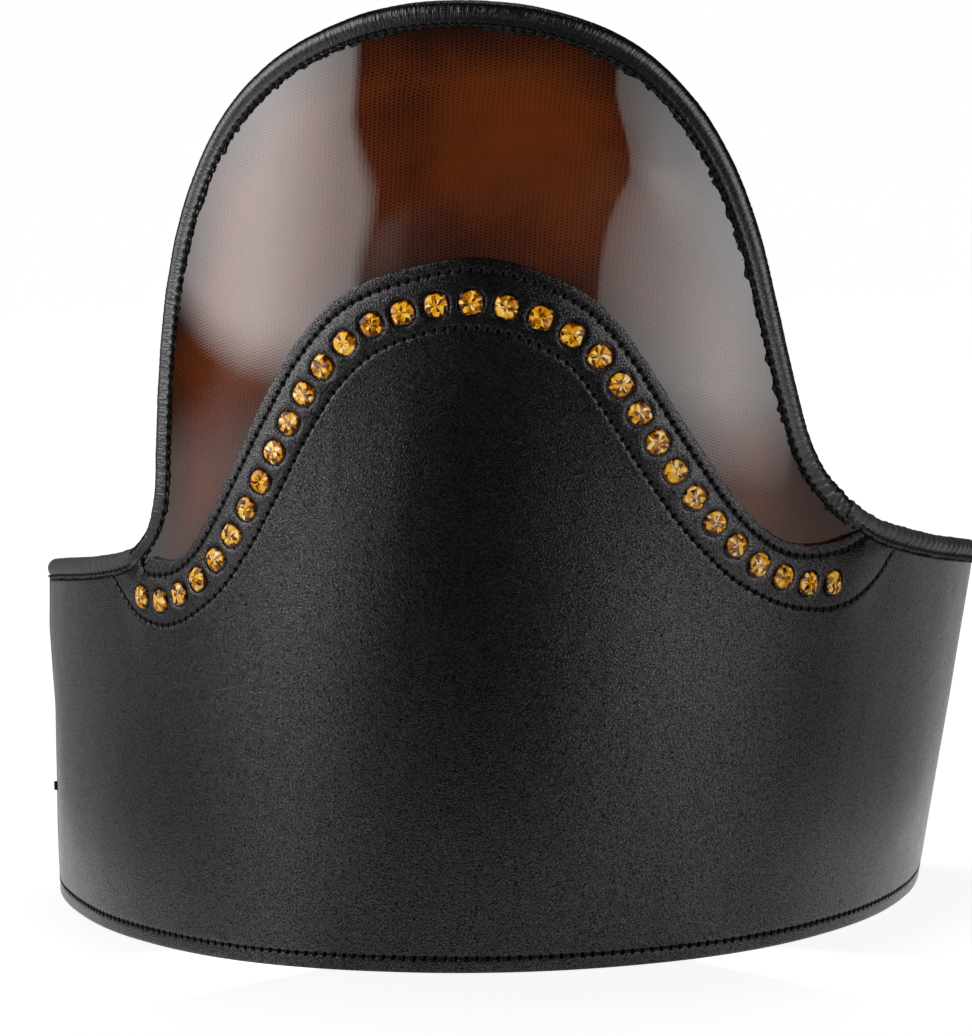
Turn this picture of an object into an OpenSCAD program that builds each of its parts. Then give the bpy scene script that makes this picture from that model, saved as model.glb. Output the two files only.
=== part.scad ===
// Crown of a tall riding boot: a curved band of black calf leather that is open at the back, with a
// high patent-leather crown behind a wave-shaped edge, a row of set crystals along the wave, and a
// corded, leather-bound edge all along the top.
//
// Every piece is cut in one flat pattern. In the pattern, s runs round the shell at floor level, from
// left (negative) to right, z is the height, and n is the distance out from the lining's inner face.
// on_shell(s, z, n) wraps a pattern point onto the shell.

/* [Shell] */
// Radius of the front of the shell at floor level, at the calf leather's outer face
front_radius = 98; // [92:1:104]
// Radius of the two sides of the shell at floor level
side_radius = 161; // [150:1:175]
// Angle from the front at which the front arc turns into a side arc
front_angle = 52; // [48:1:56]
// Widening of the shell for each millimetre of height
flare = 0.00085; // [0.0005:0.00005:0.001]
// Sideways lean of the shell for each millimetre of height
lean = 0.09; // [0.05:0.01:0.1]
// Radius of the rounded bottom corners at the two ends
corner_r = 4; // [2:1:6]

/* [Leather] */
// Thickness of the lining leather
lining_t = 0.8; // [0.7:0.1:1]
// Thickness of the stiffening boards
board_t = 0.8; // [0.7:0.1:1]
// Thickness of the black calf leather
calf_t = 1.2; // [1:0.1:1.4]
// Thickness of the patent leather
patent_t = 1; // [0.9:0.1:1.1]
// Thickness of the tape that lifts the crystal band
tape_t = 0.7; // [0.7:0.1:0.9]

/* [Bound edge] */
// Diameter of the cord in the bound edge
cord_d = 3.2; // [2.8:0.1:3.6]
// Thickness of the binding leather
wrap_t = 0.7; // [0.6:0.1:0.8]
// Depth of the crown binding, from its outer edge to its cut edge
crown_wrap_w = 6.4; // [6:0.1:7]
// Depth of the two shoulder bindings
shoulder_wrap_w = 5.6; // [5.2:0.1:6]

/* [Crystals] */
// Number of crystals along the wave
crystal_count = 32; // [24:1:32]
// Diameter of a crystal at its girdle
crystal_d = 5.3; // [4.8:0.1:5.4]
// Diameter of the hole punched for each crystal
punch_d = 6.4; // [6.2:0.1:6.8]

/* [Seams] */
// Length from one stitch to the next
stitch_pitch = 2.5; // [2.3:0.1:3.5]
// Thickness of the sewing thread
thread_d = 0.5; // [0.4:0.1:0.6]
// Height of the hem seam above the bottom edge
hem_rise = 3.6; // [3.2:0.1:5]

/* [Hidden] */
$fn = 32;

binding_black = [0.07, 0.07, 0.075];
calf_black = [0.12, 0.12, 0.125];
patent_brown = [0.33, 0.12, 0.05];
amber = [0.9, 0.55, 0.1];
board_grey = [0.55, 0.5, 0.42];
cord_white = [0.85, 0.83, 0.78];

// Arc lengths of the plan curve, from the front to where a side arc starts and to the end.
front_len = front_radius * front_angle * PI / 180;
half_len = front_len + side_radius * (90 - front_angle) * PI / 180;

// Where the crown's panel and binding end, in the pattern, and the shoulders begin.
crown_left = -104;
crown_right = 84;
// The patent leather has a hidden tab that runs on below the first crystal.
tab_left = -110;

// Outer edge of the whole piece, from the left end over the crown to the right end.
outline_points = [
    [-half_len, 84.8], [-160, 89.3], [-130, 93], [-112, 96.5], [crown_left, 100.6], [-99.5, 110],
    [-98.2, 123], [-96.5, 143], [-93, 164], [-86, 184.5], [-75, 203], [-60, 217], [-42, 226],
    [-24, 228.7], [-6, 226], [10, 218.5], [23, 206], [33, 191], [41.5, 173], [48.5, 154], [55, 137],
    [62, 121.5], [71, 111.5], [crown_right, 104], [100, 99], [125, 93.8], [160, 88.6], [half_len, 83.6]
];
// Cut edge of the calf leather in front of the crown.
wave_points = [
    [crown_left, 96.6], [-97, 95.6], [-90.5, 96], [-85, 99], [-78, 108], [-71, 120.5], [-63, 136],
    [-55, 150], [-45, 161], [-32, 166.8], [-17, 169.7], [-4, 166.4], [7, 160], [15.5, 151], [24, 138],
    [33, 124.7], [43, 111.5], [52, 103.2], [60, 99.2], [69, 98.4], [78, 99.6], [crown_right, 101]
];
// Centre line of the crystals.
crystal_points = [
    [-103, 85.8], [-95.5, 85.6], [-88, 88], [-79, 94.2], [-71.5, 103], [-64, 115.3], [-57, 129.3],
    [-50, 142], [-41, 152], [-29, 157.5], [-16.5, 159.2], [-4, 156], [8, 148], [17, 135.8],
    [26, 122], [36, 108.7], [47.5, 97.4], [58, 91.3], [66, 89], [73, 88.5]
];
// Lower seam of the crystal band, from shoulder to shoulder.
low_seam_points = [
    [-121, 90.6], [-114.5, 85.8], [-108, 82.2], [-101, 80], [-94, 79.7], [-86, 82.2], [-75.5, 89.3],
    [-67, 99.6], [-59.5, 112.6], [-52.5, 126.6], [-45.5, 138.7], [-37.5, 147.2], [-27.5, 151.9],
    [-17, 153.4], [-6.5, 150.9], [4, 144.2], [12.3, 132.7], [21.3, 118.9], [31.6, 105],
    [43.8, 93], [55.6, 86.1], [65, 83.2], [74, 82.3], [82.5, 83.8], [91, 88], [97, 93.6]
];

// Height up to which the shaft board runs on below the crown board, and the gap between the two.
board_split = 60;
board_gap = 0.3;
// The lining and the boards stop short of the bottom edge.
lining_rise = 0.3;
board_rise = 0.8;

// Stack heights, from the lining's inner face outwards.
board_n = lining_t;
skin_n = lining_t + board_t;
patent_top = skin_n + patent_t;
calf_top = skin_n + calf_t;
band_top = calf_top + patent_t + tape_t;

// The bound edge: radius of the cord and of the roll, the roll's axis, and where the panels stop.
cord_r = cord_d / 2;
roll_r = cord_r + wrap_t;
roll_n = patent_top / 2;
panel_inset = roll_r + cord_r;

// Thread tacks that hold the layers together at the two ends: heights on each side.
tack_d = 1.2;
tack_len = 2.4;
left_tacks = [26];
right_tacks = [54, 60, 66];

// The origin is under the middle of the piece's box. Its left side is at the tack, its right side at
// the end of the shoulder roll, its front at the crown's tip and its back at the shoulder's end.
left_x = plan(-half_len)[0] * spread(left_tacks[0]) + lean * left_tacks[0] - tack_d;
right_z = 83.6 - roll_r;
right_x = plan(half_len)[0] * spread(right_z) + lean * right_z + roll_n + roll_r - calf_top;
front_z = 226 - roll_r;
front_y = plan(0)[1] * spread(front_z) - roll_n - roll_r + calf_top;
back_y = plan(half_len)[1] * spread(right_z);
centre_x = (left_x + right_x) / 2;
centre_y = (front_y + back_y) / 2;

// ---- Pattern and shell -------------------------------------------------------------------------

// Direction that the shell faces at s, in degrees from the front.
function facing(s) =
    abs(s) <= front_len
        ? s / front_radius * 180 / PI
        : sign(s) * (front_angle + (abs(s) - front_len) / side_radius * 180 / PI);

// The plan curve at floor level: a front arc that runs on into a wider arc on each side.
function plan(s) =
    let (a = abs(facing(s)), joint = min(a, front_angle), wide = side_radius - front_radius)
    [
        sign(s) * (a > joint ? side_radius * sin(a) - wide * sin(joint) : front_radius * sin(a)),
        -(a > joint ? side_radius * cos(a) - wide * cos(joint) : front_radius * cos(a))
    ];

function spread(z) = 1 + flare * z;

function on_shell(s, z, n) =
    let (p = plan(s) * spread(z), a = facing(s), out = n - calf_top)
    [p[0] + lean * z + out * sin(a) - centre_x, p[1] - out * cos(a) - centre_y, z];

function shell_point(p, n) = on_shell(p[0], p[1], n);

// ---- Lines in the pattern ----------------------------------------------------------------------

// Steps of a smooth line between two of its points.
line_steps = 4;

// A point of a smooth curve between b and c, with a before them and d after them.
function between(a, b, c, d, t) =
    0.5 * ((2 * b) + (c - a) * t + (2 * a - 5 * b + 4 * c - d) * t * t
        + (3 * b - a - 3 * c + d) * t * t * t);

// A smooth line through all the points.
function smooth(p) =
    let (last = len(p) - 1)
    [
        for (i = [0 : last - 1], k = [0 : line_steps - 1])
            between(p[max(i - 1, 0)], p[i], p[i + 1], p[min(i + 2, last)], k / line_steps),
        p[last]
    ];

// The line moved down by d, square to itself, as it lies on the shell.
function lowered(line, d) =
    let (last = len(line) - 1)
    [
        for (i = [0 : last])
            let (
                m = spread(line[i][1]),
                t = line[min(i + 1, last)] - line[max(i - 1, 0)],
                across = t[0] * m,
                size = sqrt(across * across + t[1] * t[1])
            )
            line[i] + d * [t[1] / size / m, -across / size]
    ];

// The part of a line from one s to another.
function part_of(line, low, high) = [for (p = line) if (p[0] >= low && p[0] <= high) p];

function height_at(line, s) = lookup(s, line);

// Running lengths along a line as it lies on the shell.
function lengths(line, n, i = 0, sum = 0, out = []) =
    i >= len(line)
        ? out
        : let (step = i == 0 ? 0 : norm(shell_point(line[i], n) - shell_point(line[i - 1], n)))
        lengths(line, n, i + 1, sum + step, concat(out, [sum + step]));

// The pattern point at a given running length.
function at_length(line, run, want) =
    [
        lookup(want, [for (i = [0 : len(line) - 1]) [run[i], line[i][0]]]),
        lookup(want, [for (i = [0 : len(line) - 1]) [run[i], line[i][1]]])
    ];

outline = smooth(outline_points);
outline_in = lowered(outline, 1);
panel_edge = lowered(outline, panel_inset);
crown_flange = lowered(outline, crown_wrap_w);
wave = smooth(wave_points);
crystal_line = smooth(crystal_points);
low_seam = smooth(low_seam_points);

// Places of the columns that every panel is built from, closer together at the rounded corners.
corner_steps = [0, 0.1, 0.3, 0.6, 1];
column_s = concat(
    [for (c = corner_steps) c * corner_r - half_len],
    [for (p = panel_edge) if (abs(p[0]) < half_len - 1.5 * corner_r) p[0]],
    [for (i = [len(corner_steps) - 1 : -1 : 0]) half_len - corner_steps[i] * corner_r]
);

// Height of the rounded bottom edge.
function floor_at(s) =
    let (d = max(0, corner_r - half_len + abs(s)))
    corner_r - sqrt(corner_r * corner_r - d * d);

function edge_at(s) = height_at(panel_edge, s);

// Top of the calf leather: the panels' edge on the shoulders, the wave in front of the crown.
function calf_edge_at(s) =
    s <= crown_left || s >= crown_right
        ? edge_at(s)
        : min(height_at(wave, s), height_at(crown_flange, s));

function low_seam_at(s) = min(height_at(low_seam, s), calf_edge_at(s) - 1);

// A height in the crystal band: 0 at the lower seam, 1 at the calf leather's edge.
function band_at(s, share) =
    let (low = low_seam_at(s))
    low + share * (calf_edge_at(s) - low);

// ---- Solids from the pattern -------------------------------------------------------------------

function quad(a, b, c, d) = [[a, b, c], [a, c, d]];

// A closed sheet. columns[i][j] is [s, z, inner n, outer n], with the columns from left to right and
// the rows of each from the bottom up.
module sheet(columns) {
    nr = len(columns[0]);
    nc = len(columns);
    inner = [for (c = columns, p = c) on_shell(p[0], p[1], p[2])];
    outer = [for (c = columns, p = c) on_shell(p[0], p[1], p[3])];
    out = nc * nr;
    end = (nc - 1) * nr;
    faces = [
        for (i = [0 : nc - 2], j = [0 : nr - 2])
            let (k = i * nr + j)
            each concat(
                quad(k, k + nr, k + nr + 1, k + 1),
                quad(out + k + 1, out + k + nr + 1, out + k + nr, out + k)
            ),
        for (i = [0 : nc - 2])
            let (k = i * nr, t = k + nr - 1)
            each concat(
                quad(out + k, out + k + nr, k + nr, k),
                quad(t, t + nr, out + t + nr, out + t)
            ),
        for (j = [0 : nr - 2])
            each concat(
                quad(j, j + 1, out + j + 1, out + j),
                quad(out + end + j, out + end + j + 1, end + j + 1, end + j)
            )
    ];
    polyhedron(concat(inner, outer), faces);
}

// A closed section swept along the bound edge. section is a list of [depth, n] points, with depth
// measured in from the outline, and caps lists the triangles that close its two ends.
module edge_sweep(low, high, section, caps) {
    rings = [
        for (i = [0 : len(outline) - 1])
            if (outline[i][0] >= low && outline[i][0] <= high)
                [for (q = section) shell_point(outline[i] + q[0] * (outline_in[i] - outline[i]), q[1])]
    ];
    count = len(section);
    end = (len(rings) - 1) * count;
    faces = [
        for (i = [0 : len(rings) - 2], j = [0 : count - 1])
            let (a = i * count + j, b = i * count + (j + 1) % count)
            each quad(a, b, b + count, a + count),
        for (t = caps) [t[2], t[1], t[0]],
        for (t = caps) [end + t[0], end + t[1], end + t[2]]
    ];
    polyhedron([for (r = rings, p = r) p], faces);
}

// Puts its children at a pattern point, with +Z straight out of the shell and +Y up.
module at_shell(p, n) {
    translate(shell_point(p, n)) rotate([90, 0, facing(p[0])]) children();
}

// A seam: the separate stitches that show of one thread, each bedded a little into the leather.
module seam(line, n) {
    gap = 0.14;
    run = lengths(line, n);
    count = floor(run[len(run) - 1] / stitch_pitch);
    color(binding_black)
        for (i = [0 : count - 1]) {
            a = shell_point(at_length(line, run, (i + gap) * stitch_pitch), n);
            b = shell_point(at_length(line, run, (i + 1 - gap) * stitch_pitch), n);
            v = b - a;
            translate(a) rotate([0, acos(v[2] / norm(v)), atan2(v[1], v[0])])
                cylinder(h = norm(v), d = thread_d, $fn = 16);
        }
}

// ---- Lining and boards -------------------------------------------------------------------------

module lining() {
    color(calf_black)
        sheet([
            for (s = column_s)
                [[s, floor_at(s) + lining_rise, 0, lining_t], [s, edge_at(s), 0, lining_t]]
        ]);
}

// The crown board fills the crown down to the split, and the shaft board all the rest.
crown_board_left = crown_left + 7;
crown_board_right = crown_right - 4;

function over_crown_board(s) = s > crown_board_left && s < crown_board_right;

module shaft_board() {
    color(board_grey)
        sheet([
            for (s = column_s)
                let (top = over_crown_board(s) ? board_split - board_gap : edge_at(s))
                [[s, floor_at(s) + board_rise, board_n, skin_n], [s, top, board_n, skin_n]]
        ]);
}

module crown_board() {
    inset = 3;
    inner_s = [for (s = column_s) if (over_crown_board(s - inset) && over_crown_board(s + inset)) s];
    color(board_grey)
        sheet([
            for (s = inner_s)
                [[s, board_split, board_n, skin_n], [s, edge_at(s), board_n, skin_n]]
        ]);
}

// ---- Leather panels ----------------------------------------------------------------------------

// The patent leather reaches just past the lower seam, where it is hidden by the calf leather.
patent_hem = 1;

module crown_leather() {
    tab_top = 0.68;
    color(patent_brown)
        sheet([
            for (s = column_s)
                if (s >= tab_left && s <= crown_right)
                    let (top = s < crown_left ? band_at(s, tab_top) : edge_at(s))
                    [
                        [s, low_seam_at(s) - patent_hem, skin_n, patent_top],
                        [s, top, skin_n, patent_top]
                    ]
        ]);
}

// 1 where the calf leather lies over the patent leather, and 0 where it lies on the board.
function on_patent(s) =
    let (fade = 7)
    max(0, min(1, (s - tab_left + fade + 1) / fade, (crown_right + fade + 1 - s) / fade));

// The calf leather is level with the seams at its lower part and edge, and padded between them.
module shaft_leather() {
    ramp = 4;
    pad_low = 0.1;
    pad_high = 0.7;
    seam_low = 0.03;
    seam_high = 0.79;
    function row(s, z, up) = [s, z, skin_n + up, calf_top + up];
    color(calf_black)
        difference() {
            sheet([
                for (s = column_s)
                    let (
                        flat = on_patent(s) * patent_t,
                        full = on_patent(s) * (patent_t + tape_t),
                        tip = s > crown_left && s < crown_right ? patent_t : 0,
                        low = low_seam_at(s) - patent_hem - 0.2
                    )
                    [
                        row(s, floor_at(s), 0),
                        row(s, low - ramp, 0),
                        row(s, low, flat),
                        row(s, band_at(s, seam_low), flat),
                        row(s, band_at(s, pad_low), full),
                        row(s, band_at(s, pad_high), full),
                        row(s, band_at(s, seam_high), tip),
                        row(s, calf_edge_at(s), tip)
                    ]
            ]);
            each_crystal() punch();
        }
}

// The tape between the patent leather and the calf leather, along the crystals.
module crystal_tape() {
    low = 0.12;
    high = 0.68;
    side = 3;
    color(binding_black)
        difference() {
            sheet([
                for (s = column_s)
                    if (s >= tab_left + side && s <= crown_right - side)
                        [
                            [s, band_at(s, low), patent_top, patent_top + tape_t],
                            [s, band_at(s, high), patent_top, patent_top + tape_t]
                        ]
            ]);
            each_crystal() punch();
        }
}

// ---- Crystals ----------------------------------------------------------------------------------

cup_wall = 0.25;
cup_d = crystal_d + 2 * cup_wall;
girdle_h = 1.6;
girdle_t = 0.15;

// Puts its children at each crystal's seat on the patent leather, evenly along the centre line.
module each_crystal() {
    run = lengths(crystal_line, band_top);
    step = run[len(run) - 1] / (crystal_count - 1);
    for (i = [0 : crystal_count - 1])
        at_shell(at_length(crystal_line, run, i * step), patent_top) children();
}

// Cutter for the hole that a crystal sits in.
module punch() {
    below = 0.5;
    translate([0, 0, -below]) cylinder(h = band_top, d = punch_d);
}

// A metal cup with four claws over the girdle.
module crystal_cup() {
    claw_d = 0.8;
    claw_reach = 0.35;
    seat_d = crystal_d - 0.6;
    difference() {
        cylinder(h = girdle_h, d = cup_d);
        translate([0, 0, cup_wall]) cylinder(h = girdle_h, d = seat_d);
        translate([0, 0, girdle_h - girdle_t]) cylinder(h = girdle_h, d = crystal_d);
    }
    for (k = [0 : 3])
        rotate([0, 0, 90 * k]) translate([cup_d / 2, 0, girdle_h / 2])
            cylinder(h = girdle_h / 2 + claw_reach, d = claw_d, $fn = 16);
}

module crystal_cups() {
    color(binding_black) each_crystal() crystal_cup();
}

// A cut stone: a flat table, a bevelled crown and a pavilion that narrows into the cup.
module crystal() {
    culet_d = 0.25 * crystal_d;
    belly_d = crystal_d - 0.7;
    table_d = 0.52 * crystal_d;
    crown_h = 0.85;
    translate([0, 0, cup_wall])
        cylinder(h = girdle_h - cup_wall - girdle_t, d1 = culet_d, d2 = belly_d);
    translate([0, 0, girdle_h - girdle_t]) cylinder(h = girdle_t, d = crystal_d);
    translate([0, 0, girdle_h]) cylinder(h = crown_h, d1 = crystal_d, d2 = table_d);
}

module crystals() {
    color(amber) each_crystal() crystal();
}

// ---- Bound edge --------------------------------------------------------------------------------

module edge_cord() {
    sides = 8;
    section = [
        for (k = [0 : sides - 1])
            [roll_r - cord_r * cos(360 * k / sides), roll_n + cord_r * sin(360 * k / sides)]
    ];
    color(cord_white)
        edge_sweep(-half_len, half_len, section, [for (k = [1 : sides - 2]) [0, k, k + 1]]);
}

// Binding leather: a half-turn round the cord, with a leg on the outer face of the panels, whose
// height is top, and a leg on the lining.
module binding(low, high, depth, top) {
    turn = 7;
    function arc_point(r, a) = [roll_r - r * sin(a), roll_n + r * cos(a)];
    // Points round an arc of radius r that starts level with up and ends level with down.
    function arc(r, up, down) =
        let (a = -acos((up - roll_n) / r), b = 180 + acos((roll_n - down) / r))
        [for (k = [0 : turn]) arc_point(r, a + (b - a) * k / turn)];
    outside = concat([[depth, top + wrap_t]], arc(roll_r, top + wrap_t, -wrap_t), [[depth, -wrap_t]]);
    inside = concat([[depth, top]], arc(cord_r, top, 0), [[depth, 0]]);
    n = len(outside);
    section = concat(outside, [for (i = [n - 1 : -1 : 0]) inside[i]]);
    caps = [for (i = [0 : n - 2]) each quad(i, i + 1, 2 * n - 2 - i, 2 * n - 1 - i)];
    color(binding_black) edge_sweep(low, high, section, caps);
}

module crown_binding() {
    binding(crown_left, crown_right, crown_wrap_w, patent_top);
}

module left_shoulder_binding() {
    binding(-half_len, crown_left, shoulder_wrap_w, calf_top);
}

module right_shoulder_binding() {
    binding(crown_right, half_len, shoulder_wrap_w, calf_top);
}

// ---- Seams -------------------------------------------------------------------------------------

// How far a thread's middle stands off the leather.
bed = thread_d / 2 - 0.05;
seam_margin = 0.7;
seam_end = 2;
hem_line = [for (s = column_s) if (abs(s) < half_len - seam_end) [s, hem_rise]];
crown_seam = part_of(lowered(outline, crown_wrap_w - seam_margin), crown_left + 5, crown_right - 2);
shoulder_seam = lowered(outline, shoulder_wrap_w - seam_margin);
left_seam = part_of(shoulder_seam, seam_end - half_len, crown_left - seam_end);
right_seam = part_of(shoulder_seam, crown_right + 4, half_len - seam_end);
upper_seam = [for (s = column_s) if (s > crown_left + 5 && s < crown_right - 5) [s, band_at(s, 0.82)]];

module hem_needle_thread() {
    seam(hem_line, calf_top + bed);
}

module hem_bobbin_thread() {
    seam(hem_line, -bed);
}

module band_upper_thread() {
    seam(upper_seam, patent_top + calf_t + bed);
}

module band_lower_thread() {
    // The seam steps down where it leaves the patent leather.
    seam(part_of(low_seam, -half_len, tab_left - 8), calf_top + bed);
    seam(part_of(low_seam, tab_left, crown_right), patent_top + calf_t + bed);
    seam(part_of(low_seam, crown_right + 8, half_len), calf_top + bed);
}

module crown_needle_thread() {
    seam(crown_seam, patent_top + wrap_t + bed);
}

module crown_bobbin_thread() {
    seam(crown_seam, -wrap_t - bed);
}

module left_shoulder_thread() {
    seam(left_seam, calf_top + wrap_t + bed);
}

module right_shoulder_thread() {
    seam(right_seam, calf_top + wrap_t + bed);
}

module left_shoulder_bobbin_thread() {
    seam(left_seam, -wrap_t - bed);
}

module right_shoulder_bobbin_thread() {
    seam(right_seam, -wrap_t - bed);
}

// Short whipped tacks on the calf leather, beside its two cut ends.
module end_tacks() {
    module tack(side, z) {
        color(binding_black)
            translate(on_shell(side * (half_len - tack_d), z - tack_len / 2, calf_top + tack_d / 2))
                cylinder(h = tack_len, d = tack_d, $fn = 16);
    }
    for (z = left_tacks) tack(-1, z);
    for (z = right_tacks) tack(1, z);
}

lining();
shaft_board();
crown_board();
crown_leather();
shaft_leather();
crystal_tape();
crystal_cups();
crystals();
edge_cord();
crown_binding();
left_shoulder_binding();
right_shoulder_binding();
hem_needle_thread();
hem_bobbin_thread();
band_upper_thread();
band_lower_thread();
crown_needle_thread();
crown_bobbin_thread();
left_shoulder_thread();
right_shoulder_thread();
left_shoulder_bobbin_thread();
right_shoulder_bobbin_thread();
end_tacks();
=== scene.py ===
# Riding boot crown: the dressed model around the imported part.
#
# Every leather piece is cut and shaped flat, as it is on the bench, and then laid on the shell.
# The flat pattern is in millimetres: X runs round the shell at floor level, Y is the height and Z
# is the distance out from the lining's inner face. lay_on_shell() turns it into metres in the
# part's frame. In the code these three are s, z and n.
import math
import random
from functools import partialmethod

import bpy
import numpy as np
from mathutils import Matrix, Vector
from mathutils.kdtree import KDTree


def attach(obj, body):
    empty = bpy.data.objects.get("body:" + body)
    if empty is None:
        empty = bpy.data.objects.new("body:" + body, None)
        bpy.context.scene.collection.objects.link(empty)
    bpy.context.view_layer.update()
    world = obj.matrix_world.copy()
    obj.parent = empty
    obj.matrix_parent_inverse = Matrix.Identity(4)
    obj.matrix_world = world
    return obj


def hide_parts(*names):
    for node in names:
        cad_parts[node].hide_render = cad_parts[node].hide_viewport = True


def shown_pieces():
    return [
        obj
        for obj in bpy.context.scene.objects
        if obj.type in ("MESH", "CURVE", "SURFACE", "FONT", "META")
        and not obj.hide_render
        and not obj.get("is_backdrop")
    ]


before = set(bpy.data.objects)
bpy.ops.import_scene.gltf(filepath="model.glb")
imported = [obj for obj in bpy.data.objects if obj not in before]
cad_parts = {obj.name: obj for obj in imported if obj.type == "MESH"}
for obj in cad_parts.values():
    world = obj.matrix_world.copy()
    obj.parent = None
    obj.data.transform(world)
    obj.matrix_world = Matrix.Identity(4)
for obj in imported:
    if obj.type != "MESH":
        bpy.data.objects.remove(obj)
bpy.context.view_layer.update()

chance = random.Random(11)

# ---- Measures, in millimetres ----

MM = 0.001
front_radius, side_radius, front_angle = 98.0, 161.0, math.radians(52)
flare, lean, corner_r = 0.00085, 0.09, 4.0
lining_t, board_t, calf_t, patent_t, tape_t, wrap_t = 0.8, 0.8, 1.2, 1.0, 0.7, 0.7
cord_r = 1.6
# Depth of a binding's front, all along and at the tightest hollow corner, and of its seam.
crown_wrap_w, shoulder_wrap_w, corner_wrap_w, seam_inset = 6.4, 5.0, 4.35, 0.7
crystal_count, crystal_r, punch_r = 32, 2.92, 3.32
stitch_pitch, thread_r, hem_rise = 2.5, 0.25, 3.6
# Shares of the crystal band's height: the tape's two edges and the upper seam.
tape_low, tape_high, upper_share = 0.12, 0.68, 0.82

skin_n = lining_t + board_t
patent_top = skin_n + patent_t
calf_top = skin_n + calf_t
roll_r = cord_r + wrap_t
roll_n = patent_top / 2
panel_inset = roll_r + cord_r
board_split, board_gap = 60.0, 0.3

front_len = front_radius * front_angle
half_len = front_len + side_radius * (math.pi / 2 - front_angle)
crown_left, crown_right, tab_left = -104.0, 84.0, -110.0
centre_x, centre_y = 7.2455, -37.983

outline_points = [
    [-half_len, 84.8], [-160, 89.3], [-130, 93], [-112, 96.5], [crown_left, 100.6], [-99.8, 110],
    [-98.6, 123], [-97, 143], [-93.6, 164], [-86.6, 184.8], [-75.5, 203.4], [-60.4, 217.3],
    [-42, 226.2], [-24, 228.7], [-5.8, 226.3], [10.7, 218.8], [23.9, 206.4], [34, 191.4],
    [42.5, 173.3], [49.5, 154.2], [56, 137.3], [63.2, 122], [72.2, 112], [crown_right, 104.2],
    [100, 99], [125, 93.8], [160, 88.6], [half_len, 83.6],
]
wave_points = [
    [crown_left, 96.6], [-97, 95.6], [-90.5, 96], [-85, 99], [-78, 108], [-71, 120.5], [-63, 136],
    [-55, 150], [-45, 161], [-32, 166.8], [-17, 169.7], [-4, 166.4], [7, 160], [15.5, 151],
    [24, 138], [33, 124.7], [43, 111.5], [52, 103.2], [60, 99.2], [69, 98.4], [78, 99.6],
    [crown_right, 101],
]
crystal_points = [
    [-103, 85.8], [-95.5, 85.6], [-88, 88], [-79, 94.2], [-71.5, 103], [-64, 115.3], [-57, 129.3],
    [-50, 142], [-41, 152], [-29, 157.5], [-16.5, 159.2], [-4, 156], [8, 148], [17, 135.8],
    [26, 122], [36, 108.7], [47.5, 97.4], [58, 91.3], [66, 89], [73, 88.5],
]
low_seam_points = [
    [-121, 90.6], [-114.5, 85.8], [-108, 82.2], [-101, 80], [-94, 79.7], [-86, 82.2],
    [-75.5, 89.3], [-67, 99.6], [-59.5, 112.6], [-52.5, 126.6], [-45.5, 138.7], [-37.5, 147.2],
    [-27.5, 151.9], [-17, 153.4], [-6.5, 150.9], [4, 144.2], [12.3, 132.7], [21.3, 118.9],
    [31.6, 105], [43.8, 93], [55.6, 86.1], [65, 83.2], [74, 82.3], [82.5, 83.8], [91, 88],
    [97, 93.6],
]

# ---- The shell ----


def facing(s):
    """Direction that the shell faces at s, in radians from the front."""
    side = np.maximum(abs(s) - front_len, 0)
    return np.sign(s) * (np.minimum(abs(s), front_len) / front_radius + side / side_radius)


def spread(z):
    """Widening of the shell at a height."""
    return 1 + flare * z


def on_shell(s, z, n):
    """Pattern points laid on the shell, in millimetres, as an array of x, y, z."""
    s, z, n = np.broadcast_arrays(s, z, n)
    a = facing(s)
    j = np.clip(a, -front_angle, front_angle)
    wide = side_radius - front_radius
    round_side = abs(s) > front_len
    x = np.where(round_side, side_radius * np.sin(a) - wide * np.sin(j), front_radius * np.sin(a))
    y = np.where(round_side, wide * np.cos(j) - side_radius * np.cos(a), -front_radius * np.cos(a))
    out = n - calf_top
    x = x * spread(z) + lean * z + out * np.sin(a) - centre_x
    y = y * spread(z) - out * np.cos(a) - centre_y
    return np.stack([x, y, z + 0 * x], axis=-1)


# ---- Lines in the pattern ----


def ease(x, low, high):
    """0 below low, 1 above high and a soft step between them."""
    t = np.clip((x - low) / (high - low), 0, 1)
    return t * t * (3 - 2 * t)


def fade(x, low, high):
    """1 below low, 0 above high and a soft step between them."""
    return 1 - ease(x, low, high)


def bell(x, middle, width):
    """1 in the middle and nearly 0 beyond twice the width."""
    return np.exp(-(((x - middle) / width) ** 2))


def smooth(points, steps=16):
    """A smooth line through all the points."""
    p = np.array(points, float)
    p = np.vstack([p[:1], p, p[-1:]])
    t = (np.arange(steps) / steps)[:, None]
    runs = []
    for a, b, c, d in zip(p, p[1:], p[2:], p[3:]):
        bend = (2 * a - 5 * b + 4 * c - d) * t * t + (3 * b - a - 3 * c + d) * t * t * t
        runs.append(0.5 * (2 * b + (c - a) * t + bend))
    return np.vstack(runs + [p[-1:]])


def inward(line):
    """Unit steps down from a line and square to it, as it lies on the shell."""
    m = spread(line[:, 1])
    t = np.gradient(line, axis=0)
    across = t[:, 0] * m
    size = np.hypot(across, t[:, 1])
    return np.stack([t[:, 1] / size / m, -across / size], axis=-1)


def lowered(line, depth):
    return line + depth * inward(line)


def part_of(line, low, high):
    return line[(line[:, 0] >= low) & (line[:, 0] <= high)]


def height_at(line, s):
    return np.interp(s, line[:, 0], line[:, 1])


def lengths(line, n=calf_top):
    """Running lengths along a line as it lies on the shell."""
    steps = np.diff(on_shell(line[:, 0], line[:, 1], n), axis=0)
    return np.concatenate([[0], np.cumsum(np.linalg.norm(steps, axis=1))])


def at_length(line, want, n=calf_top):
    """The pattern points at the given running lengths."""
    run = lengths(line, n)
    return np.stack([np.interp(want, run, line[:, k]) for k in (0, 1)], axis=-1)


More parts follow.
